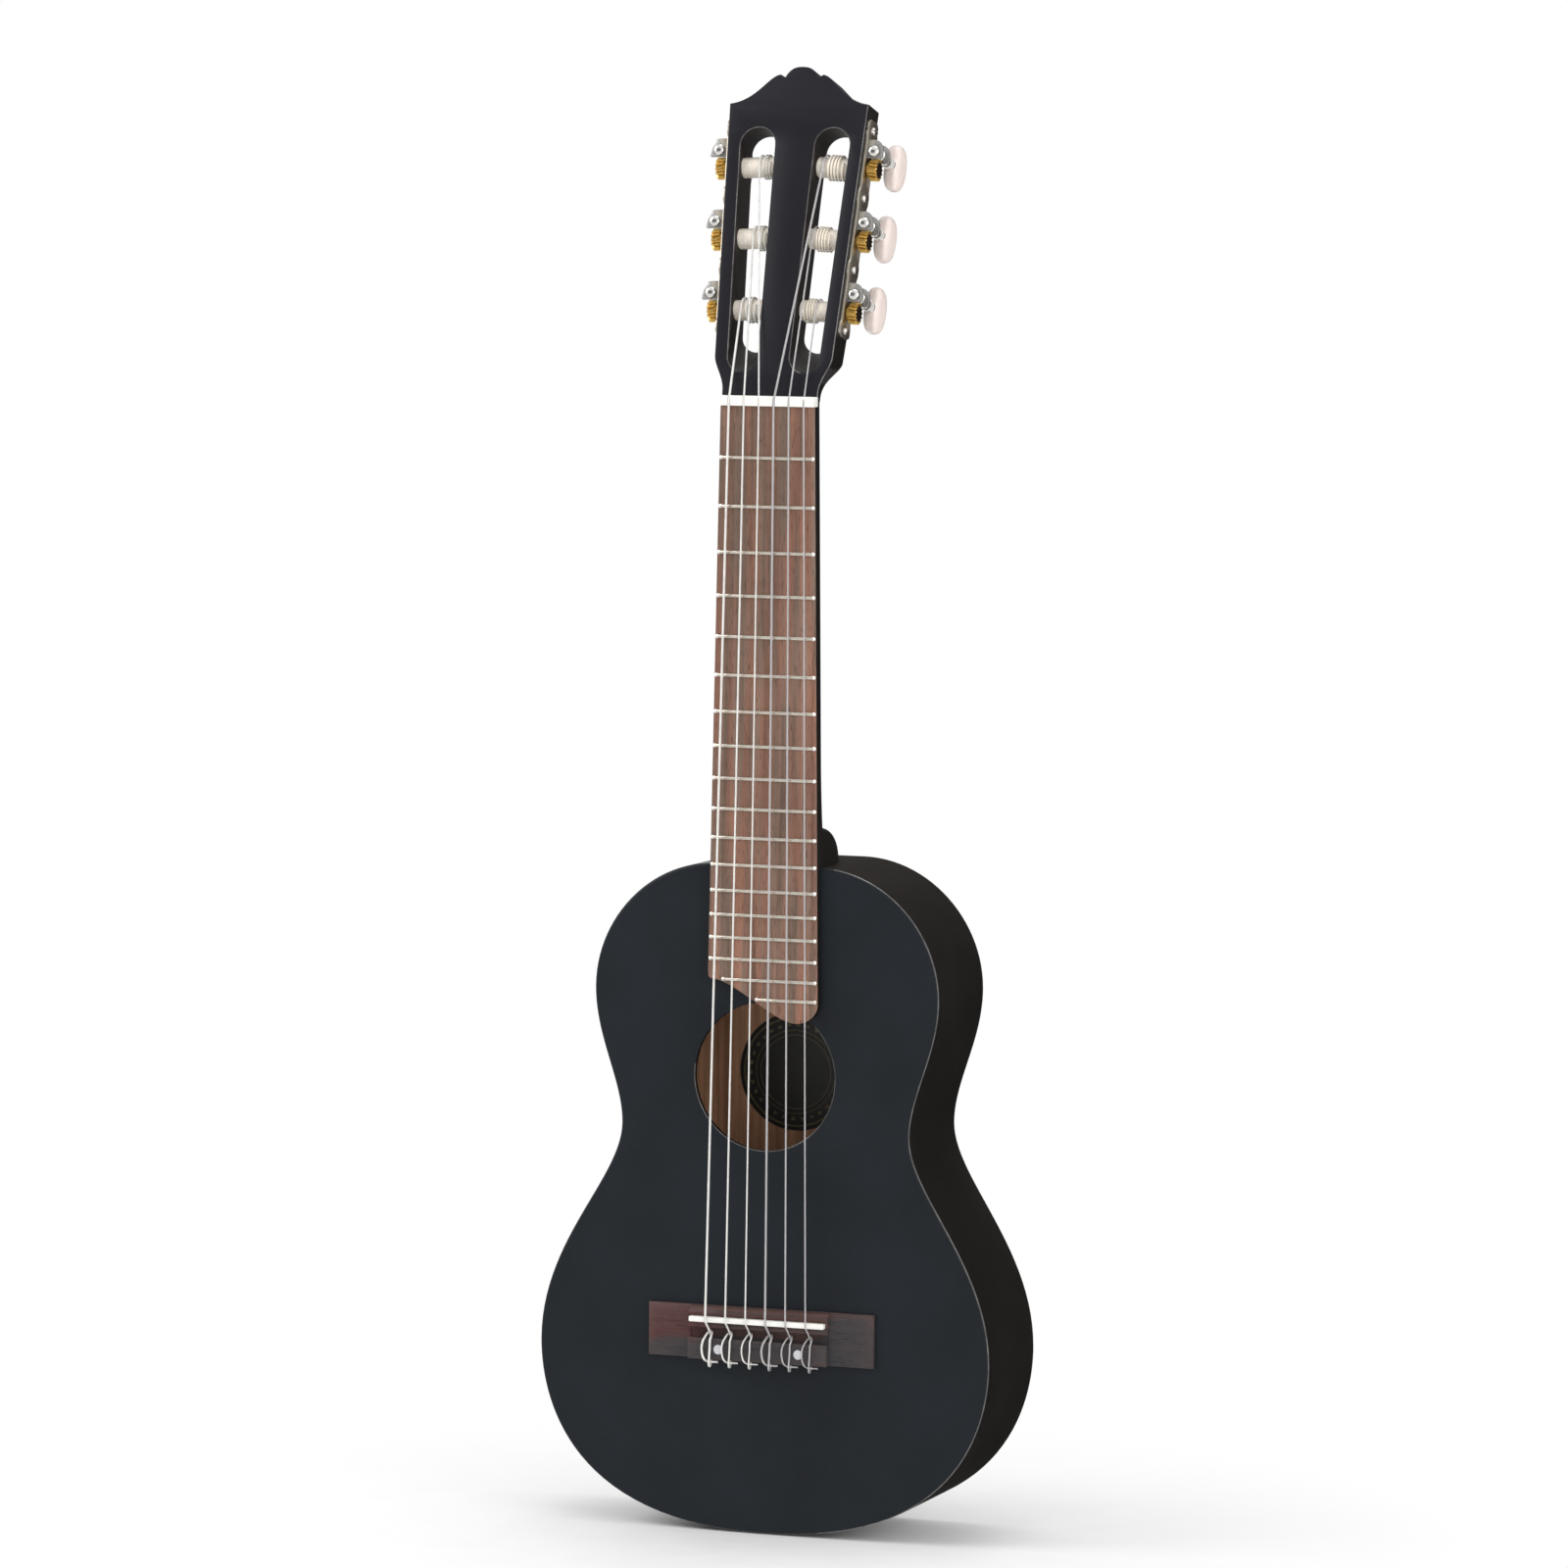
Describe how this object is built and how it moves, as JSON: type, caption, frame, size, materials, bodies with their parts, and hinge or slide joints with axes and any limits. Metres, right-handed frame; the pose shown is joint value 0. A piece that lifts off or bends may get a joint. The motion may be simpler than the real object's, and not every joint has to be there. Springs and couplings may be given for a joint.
{
  "type": "guitalele",
  "caption": "Small nylon-string guitar with a slotted head, geared tuners that turn with their string rollers, a hollow body and a slanted fingerboard end.",
  "frame": {"origin": "centreline point where the nut's front face meets the neck, in the plane of the soundboard's face", "axes": "+Z along the neck towards the head, -Y out of the strings, +X towards the treble side"},
  "size_m": [0.2266, 0.0818, 0.6947],
  "materials": {
    "black_finish": "satin black lacquer over wood",
    "inner_wood": "bare wood",
    "label_paper": "matt dark paper",
    "rosewood": "open-grained rosewood with plain metal frets",
    "dark_rosewood": "dark rosewood",
    "ivory_plastic": "white moulded plastic",
    "pearl": "pearl-like plastic",
    "nickel": "nickel plate",
    "brass": "cut brass",
    "roller_plastic": "cream plastic with fine turned lines",
    "button_plastic": "pearloid cream plastic",
    "bass_string": "silver-plated wire wound on nylon",
    "treble_string": "clear nylon"
  },
  "bodies": {
    "instrument": {"soundboard": "black_finish", "back_plate": "black_finish", "side_bass": "black_finish", "side_treble": "black_finish", "neck_block": "inner_wood", "tail_block": "inner_wood", "lining_front_bass": "inner_wood", "lining_front_treble": "inner_wood", "lining_back_bass": "inner_wood", "lining_back_treble": "inner_wood", "brace_front_upper": "inner_wood", "brace_front_lower": "inner_wood", "brace_back_upper": "inner_wood", "brace_back_lower": "inner_wood", "label": "label_paper", "neck": "black_finish", "fingerboard": "rosewood", "nut": "ivory_plastic", "bridge": "dark_rosewood", "saddle": "ivory_plastic", "bridge_dot_bass": "pearl", "bridge_dot_treble": "pearl", "tuner_plate_bass": "nickel", "tuner_plate_treble": "nickel", "string_1": "treble_string", "string_2": "treble_string", "string_3": "treble_string", "string_4": "bass_string", "string_5": "bass_string", "string_6": "bass_string"},
    "knob_1": {"worm_1": "nickel", "button_1": "button_plastic"},
    "spool_1": {"roller_1": "roller_plastic", "tuner_gear_1": "brass", "winding_1": "treble_string"},
    "knob_2": {"worm_2": "nickel", "button_2": "button_plastic"},
    "spool_2": {"roller_2": "roller_plastic", "tuner_gear_2": "brass", "winding_2": "treble_string"},
    "knob_3": {"worm_3": "nickel", "button_3": "button_plastic"},
    "spool_3": {"roller_3": "roller_plastic", "tuner_gear_3": "brass", "winding_3": "treble_string"},
    "knob_4": {"worm_4": "nickel", "button_4": "button_plastic"},
    "spool_4": {"roller_4": "roller_plastic", "tuner_gear_4": "brass", "winding_4": "bass_string"},
    "knob_5": {"worm_5": "nickel", "button_5": "button_plastic"},
    "spool_5": {"roller_5": "roller_plastic", "tuner_gear_5": "brass", "winding_5": "bass_string"},
    "knob_6": {"worm_6": "nickel", "button_6": "button_plastic"},
    "spool_6": {"roller_6": "roller_plastic", "tuner_gear_6": "brass", "winding_6": "bass_string"}
  },
  "joints": [
    {"name": "knob_1_turn", "type": "hinge", "parent": "instrument", "child": "knob_1", "pos_m": [0.03576, 0.0194, 0.05113], "axis": [0, -0.9659, 0.2588], "continuous": true},
    {"name": "spool_1_turn", "type": "hinge", "parent": "instrument", "child": "spool_1", "pos_m": [0.03542, 0.01738, 0.0436], "axis": [-0.9991, 0.0112, 0.0417], "continuous": true},
    {"name": "knob_2_turn", "type": "hinge", "parent": "instrument", "child": "knob_2", "pos_m": [0.03726, 0.02838, 0.08464], "axis": [0, -0.9659, 0.2588], "continuous": true},
    {"name": "spool_2_turn", "type": "hinge", "parent": "instrument", "child": "spool_2", "pos_m": [0.03692, 0.02636, 0.07712], "axis": [-0.9991, 0.0112, 0.0417], "continuous": true},
    {"name": "knob_3_turn", "type": "hinge", "parent": "instrument", "child": "knob_3", "pos_m": [0.03875, 0.03736, 0.11816], "axis": [0, -0.9659, 0.2588], "continuous": true},
    {"name": "spool_3_turn", "type": "hinge", "parent": "instrument", "child": "spool_3", "pos_m": [0.03842, 0.03534, 0.11064], "axis": [-0.9991, 0.0112, 0.0417], "continuous": true},
    {"name": "knob_4_turn", "type": "hinge", "parent": "instrument", "child": "knob_4", "pos_m": [-0.03875, 0.03736, 0.11816], "axis": [0, 0.9659, -0.2588], "continuous": true},
    {"name": "spool_4_turn", "type": "hinge", "parent": "instrument", "child": "spool_4", "pos_m": [-0.03842, 0.03534, 0.11064], "axis": [-0.9991, -0.0112, -0.0417], "continuous": true},
    {"name": "knob_5_turn", "type": "hinge", "parent": "instrument", "child": "knob_5", "pos_m": [-0.03726, 0.02838, 0.08464], "axis": [0, 0.9659, -0.2588], "continuous": true},
    {"name": "spool_5_turn", "type": "hinge", "parent": "instrument", "child": "spool_5", "pos_m": [-0.03692, 0.02636, 0.07712], "axis": [-0.9991, -0.0112, -0.0417], "continuous": true},
    {"name": "knob_6_turn", "type": "hinge", "parent": "instrument", "child": "knob_6", "pos_m": [-0.03576, 0.0194, 0.05113], "axis": [0, 0.9659, -0.2588], "continuous": true},
    {"name": "spool_6_turn", "type": "hinge", "parent": "instrument", "child": "spool_6", "pos_m": [-0.03542, 0.01738, 0.0436], "axis": [-0.9991, -0.0112, -0.0417], "continuous": true}
  ],
  "couplings": [
    {"joint": "spool_1_turn", "follows": "knob_1_turn", "ratio": 0.071429},
    {"joint": "spool_2_turn", "follows": "knob_2_turn", "ratio": 0.071429},
    {"joint": "spool_3_turn", "follows": "knob_3_turn", "ratio": 0.071429},
    {"joint": "spool_4_turn", "follows": "knob_4_turn", "ratio": 0.071429},
    {"joint": "spool_5_turn", "follows": "knob_5_turn", "ratio": 0.071429},
    {"joint": "spool_6_turn", "follows": "knob_6_turn", "ratio": 0.071429}
  ]
}
